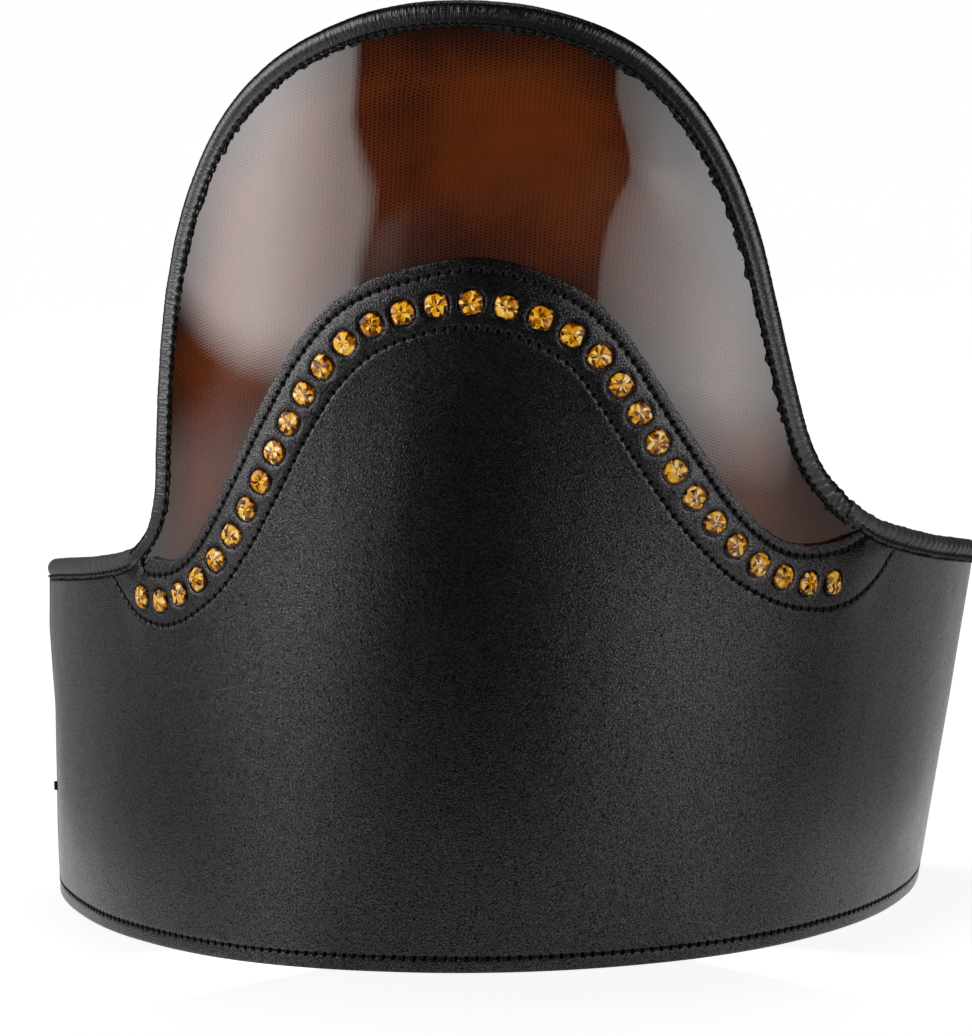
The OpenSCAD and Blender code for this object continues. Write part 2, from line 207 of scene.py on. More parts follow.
def evenly(line, step):
    """A line again, with its points a step apart as it lies on the shell."""
    total = lengths(line)[-1]
    return at_length(line, np.linspace(0, total, max(2, round(total / step) + 1)))


outline = smooth(outline_points)
panel_edge = lowered(outline, panel_inset)
outline_run = lengths(outline)
crown_start, crown_end = np.interp([crown_left, crown_right], outline[:, 0], outline_run)
crown_flange = lowered(outline, crown_wrap_w - 2.7 * bell(outline_run, crown_end, 5.5)[:, None])
wave = smooth(wave_points)
crystal_line = smooth(crystal_points)
low_seam = smooth(low_seam_points)


def floor_at(s):
    d = np.maximum(0, corner_r - half_len + abs(s))
    return corner_r - np.sqrt(corner_r**2 - np.minimum(d, corner_r) ** 2)


def edge_at(s):
    return height_at(panel_edge, s)


def calf_edge_at(s):
    in_crown = ease(s, crown_left - 2, crown_left + 1)
    in_crown = in_crown * fade(s, crown_right - 1, crown_right + 5)
    cut = np.minimum(height_at(wave, s), height_at(crown_flange, s))
    return edge_at(s) + in_crown * (cut - edge_at(s))


def low_seam_at(s):
    return np.minimum(height_at(low_seam, s), calf_edge_at(s) - 1)


def band_at(s, share):
    low = low_seam_at(s)
    return low + share * (calf_edge_at(s) - low)


def wander(x, pitch, seed):
    """Soft random hills and hollows from -1 to 1 along x, about a pitch wide."""
    heights = np.random.RandomState(seed).uniform(-1, 1, 4096)
    place = np.asarray(x, float) / pitch
    k = np.floor(place).astype(int)
    t = place - k
    t = t * t * (3 - 2 * t)
    return heights[k % 4096] * (1 - t) + heights[(k + 1) % 4096] * t


def sway(s, z):
    """Slight unevenness of the whole shell, the same for every layer."""
    return (
        0.16 * np.sin(s / 17 + 0.6) * np.sin(z / 23 + 1)
        + 0.12 * np.sin(s / 9.5 - z / 31 + 2)
        + 0.10 * wander(s + 0.35 * z, 21, 3)
        + 1.1 * ease(-s, half_len - 34, half_len) * bell(z, 69, 14)
        - 0.45 * ease(s, half_len - 40, half_len) * ease(z, 50, 95)
    )


# ---- Bench work ----


def clear_bench():
    """Deselects everything, so that the next operators act on the new piece alone."""
    bpy.ops.object.select_all(action="DESELECT")


def pick(piece):
    """Selects one piece and nothing else."""
    clear_bench()
    piece.select_set(True)
    bpy.context.view_layer.objects.active = piece


def added(name):
    piece = bpy.context.active_object
    piece.name = piece.data.name = name
    return piece


def joined(parts, name):
    """Several pieces made into one."""
    pick(parts[-1])
    for part in parts:
        part.select_set(True)
    bpy.ops.object.join()
    return added(name)


def open_up(piece, kind, wanted):
    """Opens a piece for editing with some edges or faces selected: the ones whose corners suit."""
    bpy.ops.object.mode_set(mode="EDIT")
    bpy.ops.mesh.select_mode(type=kind)
    bpy.ops.mesh.select_all(action="DESELECT")
    bpy.ops.object.mode_set(mode="OBJECT")
    for item in piece.data.edges if kind == "EDGE" else piece.data.polygons:
        item.select = wanted([piece.data.vertices[k].co for k in item.vertices])
    bpy.ops.object.mode_set(mode="EDIT")


def finish_with(piece, kind, **settings):
    """Adds one modifier with its settings and applies it."""
    pick(piece)
    modifier = piece.modifiers.new(kind.title(), kind)
    for setting, value in settings.items():
        setattr(modifier, setting, value)
    bpy.ops.object.modifier_apply(modifier=modifier.name)


def points_of(piece):
    co = np.empty(len(piece.data.vertices) * 3)
    piece.data.vertices.foreach_get("co", co)
    return co.reshape(-1, 3)


def set_points(piece, x, y, z):
    piece.data.vertices.foreach_set("co", np.stack(np.broadcast_arrays(x, y, z), axis=-1).ravel())
    piece.data.update()


def cut_sheet(name, columns, rows, thickness=0):
    """A flat sheet whose column i and row j meet at columns[i], rows[j][i]."""
    rows = np.array([np.broadcast_to(r, columns.shape) for r in rows])
    nc, nr = len(columns), len(rows)
    clear_bench()
    bpy.ops.mesh.primitive_grid_add(x_subdivisions=nc - 1, y_subdivisions=nr - 1, size=2)
    sheet = added(name)
    co = points_of(sheet)
    i = np.rint((co[:, 0] + 1) / 2 * (nc - 1)).astype(int)
    j = np.rint((co[:, 1] + 1) / 2 * (nr - 1)).astype(int)
    set_points(sheet, columns[i], rows[j, i], 0)
    if thickness:
        finish_with(sheet, "SOLIDIFY", thickness=thickness, offset=1.0)
    return sheet


def keep(piece, name, x, y, z):
    """Stores three numbers for each point of a piece, for its material to read."""
    layer = piece.data.attributes.new(name, "FLOAT_VECTOR", "POINT")
    layer.data.foreach_set("vector", np.stack(np.broadcast_arrays(x, y, z), axis=-1).ravel())


def lay_on_shell(piece, smooth_angle=40):
    """Lays a flat piece on the shell and remembers where it was in the pattern."""
    s, z, n = points_of(piece).T
    keep(piece, "pattern", s, z, n)
    set_points(piece, *on_shell(s, z, n + sway(s, z)).T * MM)
    pick(piece)
    bpy.ops.object.shade_smooth_by_angle(angle=math.radians(smooth_angle))


def hand_over(piece, material, slot, *nodes):
    """Gives a piece its finish and its place in the part."""
    piece.data.materials.clear()
    piece.data.materials.append(material)
    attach(piece, "root")
    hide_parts(*nodes)


def foot_on(line, s, z, reach):
    """Distance of pattern points from a line, and the running length where each is nearest. A
    point farther off than reach gets a distance of ten times the reach."""
    dense = evenly(line, 0.12)
    run = lengths(dense)
    tree = KDTree(len(dense))
    for k, (a, b) in enumerate(dense):
        tree.insert((a * spread(b), b, 0), k)
    tree.balance()
    away, along = np.full(len(s), 10.0 * reach), np.zeros(len(s))
    box_low, box_high = dense.min(axis=0) - reach, dense.max(axis=0) + reach
    near = (s > box_low[0]) & (s < box_high[0]) & (z > box_low[1]) & (z < box_high[1])
    for k in np.nonzero(near)[0]:
        spot, index, distance = tree.find((s[k] * spread(z[k]), z[k], 0))
        if distance < reach:
            away[k], along[k] = distance, run[index]
    return away, along


def to_needle_hole(away, along):
    """Distance from the nearest needle hole of a seam."""
    return np.hypot(away, ((along / stitch_pitch + 0.5) % 1 - 0.5) * stitch_pitch)


def needle_marks(away, along):
    """How far a seam pulls the leather in: a soft groove, with a pit at each needle hole."""
    return 0.24 * bell(away, 0, 0.6) + 0.2 * bell(to_needle_hole(away, along), 0, 0.42)


def lay_along(piece, line):
    """Lays a straight piece along a line of the pattern. The piece has X for the running length, Y
    up from the line, square to it, and Z for the distance out from the lining's inner face."""
    along, up, n = points_of(piece).T
    keep(piece, "straight", along, up, n)
    run, step = lengths(line), inward(line)
    s, z = [
        np.interp(along, run, line[:, k]) - up * np.interp(along, run, step[:, k]) for k in (0, 1)
    ]
    set_points(piece, s, z, n)


def punch_crystal_holes(piece):
    """Punches the round crystal holes through a flat piece."""
    clear_bench()
    pins = []
    for s, z in crystal_seats:
        bpy.ops.mesh.primitive_cylinder_add(
            vertices=40, radius=punch_r, depth=8, location=(s, z, 0), scale=(1 / spread(z), 1, 1)
        )
        pins.append(bpy.context.active_object)
    punch = joined(pins, "punch")
    finish_with(piece, "BOOLEAN", object=punch, operation="DIFFERENCE", solver="MANIFOLD")
    finish_with(piece, "TRIANGULATE")
    bpy.data.objects.remove(punch)


# ---- Lines that the pieces share ----


# Hollow corners of the edge that a binding goes round: running length and reach.
crown_corners = ((crown_start - 1, 8.0), (crown_end, 5.0))
left_corners = ((crown_start + 1, 9.0),)
right_corners = ((crown_end - 3, 9.0),)


def drawn_in(run, inset, width, corners, front=1):
    """The front of a binding pulled narrower round the hollow corners of the edge."""
    for at, reach in corners:
        narrow = front * np.clip(inset / width, 0, 1) ** 2
        inset = inset - bell(run, at, reach) * narrow * (width - corner_wrap_w)
    return inset


def binding_seam(width, corners, low, high):
    """The needle line of a binding, drawn in at the hollow corners as the binding is."""
    depth = drawn_in(outline_run, width - seam_inset + 0 * outline_run, width, corners)
    return part_of(lowered(outline, depth[:, None]), low, high)


crystal_n = calf_top + patent_t + tape_t
crystal_run = np.linspace(0, lengths(crystal_line, crystal_n)[-1], crystal_count)
crystal_seats = at_length(crystal_line, crystal_run, crystal_n)

hem_line = np.array([[s, hem_rise] for s in np.linspace(2 - half_len, half_len - 2, 400)])
hook_points = [
    [-104.5, 96.4], [-104.6, 95.1], [-103.8, 93.2], [-101.6, 91.9], [-97.4, 91.6],
    [-91.4, 92.7], [-86.9, 94.9], [-82.4, 98.6],
]
upper_s = np.linspace(-79, crown_right - 7, 480)
upper_end = [[crown_right - 4.5, 97.1], [crown_right - 2, 97.9], [crown_right + 1, 99]]
upper_seam = [[s, z] for s, z in zip(upper_s, band_at(upper_s, upper_share))]
upper_seam = smooth(hook_points + upper_seam + upper_end, 4)
crown_seam = binding_seam(crown_wrap_w, crown_corners, crown_left + 1, crown_right - 5)
left_seam = binding_seam(shoulder_wrap_w, left_corners, 2 - half_len, crown_left - 4)
right_seam = binding_seam(shoulder_wrap_w, right_corners, crown_right - 4, half_len - 2)


def on_patent(s, soft=0.0):
    """1 where the calf leather lies over the patent leather, and 0 where it lies on the board."""
    left = ease(s, tab_left - 8 + 3 * soft - 2, tab_left - 1 + 10 * soft)
    right = fade(s, crown_right + 1 - 8 * soft, crown_right + 8 + 6 * soft)
    return left * right


def calf_lift(s, z, soft=0.0):
    """How far the calf leather is lifted by what lies under it. With soft at 1, its outer face
    swells gently over the tape instead of following it."""
    flat = on_patent(s, soft) * patent_t
    tape = ease(s, tab_left, tab_left + 2.5) * fade(s, crown_right - 2.5, crown_right + 0.5)
    full = flat + tape_t * (soft * 0.7 * on_patent(s, soft) + (1 - soft) * tape)
    reach = 0.4 + 4 * soft
    inside = ease(s, crown_left - reach, crown_left + reach)
    inside = inside * fade(s, crown_right - 2.5 * reach, crown_right + 0.4)
    tip = patent_t * (inside + 0.25 * soft * (1 - inside) * on_patent(s))
    low, edge = low_seam_at(s), calf_edge_at(s)
    share = (z - low) / (edge - low)
    rise = ease(share, 0.03 - 0.03 * soft, 0.1 + 0.22 * soft)
    fall = ease(share, 0.7 - 0.14 * soft, 0.79 + 0.17 * soft)
    up = ease(z, low - 5.2 - 3 * soft, low - 1.2 + 0.7 * soft)
    return flat * up + (full - flat) * rise + (tip - full) * fall


def calf_face(s, z):
    return calf_top + calf_lift(s, z, 1.0)


def cut_edge_round(to_edge, radius=0.5, drop=0.32):
    """How far the outer face drops towards a cut edge."""
    return drop * np.clip(1 - to_edge / radius, 0, 1) ** 2


# ---- Finishes ----


class Wire:
    """A value on its way through a finish. Sums of wires are worked out by math nodes."""

    def __init__(self, socket):
        self.socket, self.tree = socket, socket.id_data

    def worked(self, operation, *others):
        return wire(self.tree, "Math", dict(enumerate((self, *others))), operation=operation)

    __add__ = partialmethod(worked, "ADD")
    __sub__ = partialmethod(worked, "SUBTRACT")
    __mul__ = partialmethod(worked, "MULTIPLY")
    __abs__ = partialmethod(worked, "ABSOLUTE")
    highest = partialmethod(worked, "MAXIMUM")

    def ranged(self, low, high, first, last):
        """Runs from first to last while the value runs from low to high, and stops there."""
        return wire(self.tree, "MapRange", dict(enumerate((self, low, high, first, last))))


def wire(tree, kind, inputs=(), output=0, **settings):
    """Adds a node and gives one of its outputs. Its inputs are wires and plain values."""
    made = tree.nodes.new("ShaderNode" + kind)
    for setting, value in settings.items():
        setattr(made, setting, value)
    for socket, value in dict(inputs).items():
        if isinstance(value, Wire):
            tree.links.new(value.socket, made.inputs[socket])
        else:
            made.inputs[socket].default_value = value
    return Wire(made.outputs[output])


def finish(name, **sockets):
    """A new material. Socket names are given with _ for a space."""
    material = bpy.data.materials.new(name)
    material.use_nodes = True
    shader = material.node_tree.nodes["Principled BSDF"]
    for socket, value in sockets.items():
        shader.inputs[socket.replace("_", " ")].default_value = value
    return material


def feed(material, **wires):
    """Leads wires to the shader's sockets."""
    shader = material.node_tree.nodes["Principled BSDF"]
    for socket, value in wires.items():
        material.node_tree.links.new(value.socket, shader.inputs[socket.replace("_", " ")])


def place_in(material, attribute=None):
    """Object coordinates in metres, or one of a piece's own attributes in millimetres."""
    if attribute:
        return wire(material.node_tree, "Attribute", output="Vector", attribute_name=attribute)
    return wire(material.node_tree, "TexCoord", output="Object")


def split(vector):
    """The three numbers of a vector."""
    first = wire(vector.tree, "SeparateXYZ", {0: vector})
    return [Wire(socket) for socket in first.socket.node.outputs]


def distance(x, y):
    return (x * x + y * y).worked("SQRT")


def stretched(place, scale):
    return wire(place.tree, "Mapping", {"Vector": place, "Scale": scale})


def noise(place, scale, detail=3.0, roughness=0.55):
    inputs = {"Vector": place, "Scale": scale, "Detail": detail, "Roughness": roughness}
    return wire(place.tree, "TexNoise", inputs, "Fac")


def cells(place, scale, feature="F1", output="Distance"):
    inputs = {"Vector": place, "Scale": scale}
    return wire(place.tree, "TexVoronoi", inputs, output, feature=feature)


def ramp(value, *stops):
    """Colours or greys along a value. A stop is (place, colour)."""
    colours = wire(value.tree, "ValToRGB", {"Fac": value}, "Color")
    band = colours.socket.node.color_ramp
    while len(band.elements) < len(stops):
        band.elements.new(1.0)
    for element, (place, colour) in zip(band.elements, stops):
        element.position = place
        grey = isinstance(colour, (int, float))
        element.color = (colour, colour, colour, 1) if grey else (*colour, 1)
    return colours


def dyed(place, scale, dark, light):
    """Dye that has taken unevenly, in soft blotches."""
    return ramp(noise(place, scale, 4), (0.35, dark), (0.7, light))


def bump(height, depth):
    return wire(height.tree, "Bump", {"Height": height, "Distance": depth})


def lining_finish():
    """Dyed lining leather, with a pebble grain of the given size in metres."""
    leather = finish("lining_leather", Sheen_Weight=0.15, Sheen_Roughness=0.4)
    place = place_in(leather)
    grain = 0.0009
    pebble = cells(place, 1 / grain, "SMOOTH_F1")
    crease, pore = noise(place, 0.45 / grain), noise(place, 2.6 / grain, 2)
    feed(
        leather,
        Base_Color=dyed(place, 60, (0.018, 0.016, 0.015), (0.03, 0.027, 0.025)),
        Normal=bump(pebble * -0.8 + crease + pore * 0.25, 0.00005),
        Roughness=noise(place, 240) * 0.16 + 0.54,
    )
    return leather


def needle_holes(away, along, between=0.62, wide=1.0):
    """1 in a needle hole, less along the groove between the holes, and 0 off the seam."""
    hole = ((along * (1 / stitch_pitch) + 0.5).worked("FRACT") - 0.5) * stitch_pitch
    pit = distance(hole, away).ranged(0.4 * wide, 0.78 * wide, 1.0, 0.0)
    return pit.highest(away.ranged(0.1, 0.42, between, 0.0))


def shaft_finish():
    """Black calf leather: a fine pebble grain, with the seams' holes sunk in it."""
    leather = finish("calf_leather", Specular_Tint=(1.0, 0.95, 0.975, 1.0))
    place = place_in(leather)
    pebble = (cells(place, 1 / 0.00068, "DISTANCE_TO_EDGE") * 3.4).worked("MINIMUM", 1.0)
    crease = noise(stretched(place, (1, 1, 1.2)), 2300, 1)
    away, along, beside = split(place_in(leather, "seam"))
    holes = needle_holes(away, along).highest(beside.ranged(0.6, 1.5, 0.9, 0.0))
    shine = (crease * 1.35 + pebble * 0.3 - 0.42) * (holes * -1.0 + 1.0)
    feed(
        leather,
        Base_Color=dyed(place, 60, (0.0012, 0.0011, 0.0014), (0.0024, 0.0022, 0.0028)),
        Normal=bump(pebble * 0.5 + crease * 1.1 + holes * -2.4, 0.00007),
        Roughness=(noise(place, 240) * 0.08 + 0.23).highest(holes),
        Specular_IOR_Level=shine.highest(0.0),
    )
    return leather


def binding_finish(name, dark, light, rough, wrinkle, width, relief, sheen=0.0):
    """Thin binding leather, with fine wrinkles across it and the needle holes of its seam."""
    leather = finish(name, Sheen_Weight=sheen, Sheen_Roughness=0.5)
    place, flat = place_in(leather), place_in(leather, "straight")
    along, up, _ = split(flat)
    above_seam = up + (width - seam_inset)
    wrinkles = noise(stretched(flat, (1.9, 0.4, 0.4)), 1.0, 2, 0.6)
    wrinkles = wrinkles * up.ranged(-4.2, -3.2, 0.35, 1.0)
    pebble = cells(place, 1 / 0.00055, "SMOOTH_F1")
    cut_edge = above_seam.ranged(-0.2, -0.5, 0.0, 0.7)
    holes = needle_holes(abs(above_seam), along, 0.6, 1.55).highest(cut_edge)
    feed(
        leather,
        Base_Color=dyed(place, 160, dark, light),
        Normal=bump(pebble * -0.35 + wrinkles * wrinkle + holes * -0.8, relief),
        Roughness=(noise(place, 500) * 0.2 + (rough - 0.1)).highest(holes),
        Specular_IOR_Level=holes * -0.45 + 0.5,
    )
    return leather


def patent_finish():
    """Brown patent leather: a woven emboss under a thick clear gloss."""
    patent = finish(
        "patent_leather", Roughness=0.45, Specular_IOR_Level=0.0, Coat_Weight=1.0,
        Coat_Roughness=0.035, Coat_IOR=1.5,
    )
    flat = place_in(patent, "pattern")
    s, z, _ = split(flat)
    wobble = noise(stretched(flat, (0.07, 0.12, 0.1)), 1.0)
    jitter = noise(stretched(flat, (0.9, 1.1, 1)), 1.0, 2)
    streak = noise(stretched(flat, (0.045, 0.045, 0.1)), 1.0, 4)

    column_w, dash_h = 1.0, 0.74
    column = (s + wobble * 1.6 + jitter * 0.35) * (2 * math.pi / column_w)
    row = (z + wobble * 1.4 + jitter * 0.3 + s * 0.05) * (2 * math.pi / dash_h)
    stagger = (column * 0.5).worked("COSINE").worked("SIGN")
    row = row + stagger * (math.pi / 2)
    weave = (column.worked("COSINE") * 0.4 + 0.6) * (row.worked("COSINE") * 0.5 + 0.5)
    dashes = jitter - weave

    from_rim, from_wave, _ = split(place_in(patent, "rim"))
    rim = from_rim.ranged(3, 18, 0.0, 0.5)
    low = from_wave.ranged(0, 15, -0.18, 0.0)
    side = ramp(
        abs(s + 4.0) * 0.01, (0.08, 1.0), (0.26, 0.2), (0.36, 0.75), (0.5, 1.15), (1.0, 1.0)
    )
    off_patch = distance((s + 12.0) * (1 / 24), (z - 193.0) * (1 / 19)) + wobble * 0.7
    off_patch = off_patch.ranged(0.6, 1.5, 0.0, 1.0)
    depth = side * 0.26 + rim + low + streak * 0.68 + off_patch * -0.06 - 0.16
    depth = depth + weave * (off_patch * -0.36 - 0.08)
    feed(
        patent,
        Normal=bump(dashes, 0.00005),
        Coat_Normal=bump(dashes, 0.0000018),
        Base_Color=ramp(
            depth, (0.1, (0.008, 0.0026, 0.0024)), (0.36, (0.017, 0.0048, 0.0028)),
            (0.6, (0.058, 0.012, 0.003)), (0.95, (0.13, 0.026, 0.0055)),
        ),
    )
    return patent


def thread_finish():
    """Black bonded thread, with the twist of its plies."""
    black = finish(
        "thread", Base_Color=(0.006, 0.0055, 0.006, 1), Roughness=0.75, Specular_IOR_Level=0.2
    )
    along, across, _ = split(place_in(black, "straight"))
    plies = ((along + across * 1.6) * (2 * math.pi / 0.5)).worked("SINE")
    fuzz = noise(place_in(black), 9000, 2)
    feed(black, Normal=bump(plies + fuzz * 0.7, 0.00004))
    return black


def crystal_finish():
    """Amber cut glass over foil, whose bright and dark wedges are painted highlights and painted
    shade in the base colour: the light that its lower facets throw back.
    The facet attribute holds a point's place on its own stone, in stone radii."""
    glass = finish("crystal", Roughness=0.08, IOR=1.5, Specular_IOR_Level=0.2)
    tree = glass.node_tree
    x, y, number = split(place_in(glass, "facet"))
    wedge = y.worked("ARCTAN2", x) * (14 / (2 * math.pi))
    out = distance(x, y)
    spot = wire(tree, "CombineXYZ", {"X": wedge, "Y": out * 2.3, "Z": number * 7.3})
    tone = wire(tree, "SeparateColor", {0: cells(spot, 1.0, output="Color")}, "Red")
    # Painted highlights and painted shade wedge by wedge, and painted shade towards each stone's
    # girdle.
    light = noise(spot, 0.7, 2) * 0.5 + tone * 0.72 - out.ranged(0.9, 1.02, 0.0, 0.35)
    feed(glass, Base_Color=ramp(
        light, (0.26, (0.03, 0.007, 0.0008)), (0.4, (0.14, 0.036, 0.0014)),
        (0.54, (0.46, 0.15, 0.002)), (0.7, (0.9, 0.38, 0.006)), (0.85, (1.0, 0.62, 0.06)),
        (1.0, (1.0, 0.9, 0.6)),
    ))
    return glass


def worn_metal():
    """Black-plated cup metal, brighter where it is rubbed."""
    metal = finish("cup_metal", Metallic=1.0)
    rub = noise(place_in(metal), 1400)
    colour = ramp(rub, (0.4, (0.012, 0.01, 0.009)), (0.75, (0.05, 0.04, 0.032)))
    feed(metal, Base_Color=colour, Roughness=rub * 0.3 + 0.22)
    return metal


def fibre_finish(name, dark, light, rough, grain):
    """Pressed or woven fibre, for what shows only at the cut edges."""
    fibre = finish(name, Roughness=rough)
    strands = noise(stretched(place_in(fibre), (1, 1, 0.3)), 1 / grain, 4)
    colour = ramp(strands, (0.3, dark), (0.7, light))
    feed(fibre, Base_Color=colour, Normal=bump(strands, 0.0001))
    return fibre


lining_leather, calf_leather, patent_leather = lining_finish(), shaft_finish(), patent_finish()
crown_binding = binding_finish(
    "crown_binding", (0.0012, 0.0011, 0.0013), (0.003, 0.0028, 0.0032), 0.25, 1.9,
    crown_wrap_w, 0.00012,
)
left_binding = binding_finish(
    "left_binding", (0.012, 0.0115, 0.012), (0.022, 0.021, 0.022), 0.6, 0.5,
    shoulder_wrap_w, 0.0001, 0.25,
)
# The right binding is the same black leather as the crown binding. Its far lighter base colour is a
# painted highlight: the light from above and from the right softbox on its roll and ribs.
right_binding_painted_light = binding_finish(
    "right_binding_painted_light", (0.03, 0.028, 0.026), (0.07, 0.066, 0.06), 0.45, 0.8,
    shoulder_wrap_w, 0.00009, 0.1,
)
thread, crystal_glass, cup_metal = thread_finish(), crystal_finish(), worn_metal()
board_fibre = fibre_finish("board", (0.16, 0.13, 0.1), (0.3, 0.26, 0.2), 0.85, 0.0005)
tape_cloth = fibre_finish("tape", (0.008, 0.008, 0.008), (0.02, 0.02, 0.02), 0.9, 0.0004)
cord_cotton = fibre_finish("cord", (0.5, 0.46, 0.4), (0.75, 0.71, 0.63), 0.9, 0.0006)


# ---- Lining and boards ----


def panel_columns(step):
    """Columns from end to end, closer together at the rounded corners."""
    plain = np.arange(corner_r * 1.5 - half_len, half_len - corner_r * 1.5, step)
    turn = corner_r * np.array([0, 0.03, 0.12, 0.28, 0.5, 0.75, 1.0])
    return np.concatenate([turn - half_len, plain, half_len - turn[::-1]])


def cut_lining():
    s = panel_columns(1.0)
    rows = np.linspace(floor_at(s) + 0.3, edge_at(s), 60)
    sheet = cut_sheet("lining_sheet", s, rows, lining_t)
    lay_on_shell(sheet)
    hand_over(sheet, lining_leather, "lining_leather", "lining")


def cut_boards():
    low, high = crown_left + 7, crown_right - 4
    s = panel_columns(2.0)
    over = (s > low) & (s < high)
    top = np.where(over, board_split - board_gap, edge_at(s))
    rows = np.linspace(floor_at(s) + 0.8, top, 24)
    shaft = cut_sheet("shaft_board_sheet", s, rows, board_t)
    s = np.linspace(low + 3, high - 3, 90)
    rows = np.linspace(board_split, edge_at(s), 40)
    crown = cut_sheet("crown_board_sheet", s, rows, board_t)
    for board, replaced in ((shaft, "shaft_board"), (crown, "crown_board")):
        s, z, n = points_of(board).T
        set_points(board, s, z, n + lining_t)
        lay_on_shell(board)
        hand_over(board, board_fibre, "board", replaced)


cut_lining()
cut_boards()

# ---- Patent leather crown ----


def cut_crown():
    s = np.concatenate([np.arange(tab_left, crown_right, 0.9), [crown_right]])
    top = np.where(s < crown_left, band_at(s, tape_high), edge_at(s))
    rows = np.linspace(low_seam_at(s) - 1, top, 110)
    sheet = cut_sheet("patent_crown", s, rows, patent_t)
    s, z, n = points_of(sheet).T
    reach = 60.0
    rim, _ = foot_on(part_of(outline, crown_left - 1, crown_right + 1), s, z, reach)
    above_wave = z - height_at(wave, s)
    free = ease(rim, 5, 22) * ease(above_wave, -20, 20)
    slack = 0.1 + 0.1 * wander(z + 0.3 * s, 17, 5) + 0.08 * wander(s - 0.2 * z, 15, 6)
    for rise, middle, width, height, tall in ((1.1, 19, 10, 195, 14), (0.75, -29, 11, 182, 18)):
        slack = slack + rise * bell(s, middle, width) * bell(z, height, tall)
    outer = n > patent_t / 2
    set_points(sheet, s, z, skin_n + n + outer * free * slack)
    lay_on_shell(sheet)
    keep(sheet, "rim", np.minimum(rim, reach), np.maximum(above_wave, 0), 0)
    hand_over(sheet, patent_leather, "patent_leather", "crown_leather")


cut_crown()

# ---- Calf leather shaft, with the punched crystal band ----


def cut_shaft():
    edge_s = np.linspace(-half_len, half_len, 6000)
    edge = np.column_stack([edge_s, calf_edge_at(edge_s)])
    inner = part_of(edge, 3 - half_len, half_len - 3)
    even = evenly(inner, 0.58)[:, 0]
    ends = np.array([0, 0.15, 0.4, 0.7, 1.0, 1.3, 1.6, 2.0, 2.5])
    s = np.concatenate([ends - half_len, even, half_len - ends[::-1]])
    low, top = low_seam_at(s), calf_edge_at(s)
    cut = (s > crown_left + 6) & (s < crown_right - 8)
    top = top - (0.14 + 0.14 * wander(s, 0.75, 21) + 0.1 * wander(s, 2.4, 22)) * cut
    hem = [0, 0.2, 0.5, 1, 1.8, 2.4, 2.8, 3.2, 3.6, 4.0, 4.4, 4.8, 5.4, 6.2]
    rows = [floor_at(s) + (hem[-1] - floor_at(s)) * h / hem[-1] for h in hem]
    rows += list(np.linspace(rows[-1], low - 2.2, 8)[1:])
    rows += list(np.linspace(low - 2.2, top - 0.45, 36)[1:])
    rows += [top - 0.2, top]
    sheet = cut_sheet("calf_shaft", s, rows, calf_t)
    punch_crystal_holes(sheet)

    s, z, n = points_of(sheet).T
    outer = n > calf_t / 2
    inside = skin_n + calf_lift(s, z)
    face = calf_face(s, z)
    far = 16.0
    nearest, foot, beside = np.full(len(s), far), 0 * s, np.full(len(s), far)
    for line in (hem_line, upper_seam, low_seam):
        away, along = foot_on(line, s, z, 1.8)
        face -= needle_marks(away, along)
        foot = np.where(away < nearest, along, foot)
        nearest = np.minimum(nearest, away)
    for line in (left_seam, right_seam):
        away, _ = foot_on(line, s, z, 2.2)
        face -= 0.75 * bell(away, 0, 0.75)
        beside = np.minimum(beside, away)
    to_hole = np.full(len(s), far)
    for cs, cz in crystal_seats:
        to_hole = np.minimum(to_hole, np.hypot((s - cs) * spread(cz), z - cz))
    face -= 0.2 * fade(to_hole, punch_r, punch_r + 0.6)
    face -= cut_edge_round(half_len - abs(s)) + cut_edge_round(z - floor_at(s))
    in_view = (s > crown_left + 2) & (s < crown_right - 4)
    ragged = 0.6 + 0.5 * wander(s, 0.8, 12) * in_view
    face -= cut_edge_round((calf_edge_at(s) - z) * 0.6, 0.45, 0.3) * ragged
    lip = ease(abs(s), half_len - 2.6, half_len - 0.8) * (0.36 + 0.1 * wander(z, 4, 13))
    face += lip * fade(z, 88, 94) * np.where(s < 0, 1, 0.6)
    face += 0.05 * wander(s + 1.7 * z, 9, 8) + 0.03 * wander(z - 0.6 * s, 5, 9)
    set_points(sheet, s, z, np.where(outer, face, inside))
    lay_on_shell(sheet)
    keep(sheet, "seam", nearest, foot, beside)
    hand_over(sheet, calf_leather, "calf_leather", "shaft_leather")


def cut_tape():
    s = np.arange(tab_left + 3, crown_right - 3, 0.8)
    rows = np.linspace(band_at(s, tape_low), band_at(s, tape_high), 12)
    sheet = cut_sheet("band_tape", s, rows, tape_t)
    punch_crystal_holes(sheet)
    s, z, n = points_of(sheet).T
    set_points(sheet, s, z, n + patent_top)
    lay_on_shell(sheet)
    hand_over(sheet, tape_cloth, "tape", "crystal_tape")


cut_shaft()
cut_tape()

# ---- Bound edge ----


def binding_section(depth, top):
    """Outer face of a binding, from its cut edge in front over the roll to its cut edge on the
    lining, as rows of depth and n."""
    front, back = top + wrap_t, -wrap_t
    start = math.acos(min(1, (front - roll_n) / roll_r))
    end = math.pi + math.acos(min(1, (roll_n - back) / roll_r))
    turn = np.linspace(-start, end, 24)
    arc = np.column_stack([roll_r - roll_r * np.sin(turn), roll_n + roll_r * np.cos(turn)])
    leg = depth - arc[0, 0]
    front_leg = [[depth - leg * k, front] for k in (0, 0.05, 0.14, 0.26, 0.42, 0.58, 0.74, 0.88)]
    back_leg = [[depth - (depth - arc[-1, 0]) * k, back] for k in (0.75, 0.5, 0.25, 0)]
    return np.vstack([front_leg, arc, back_leg])


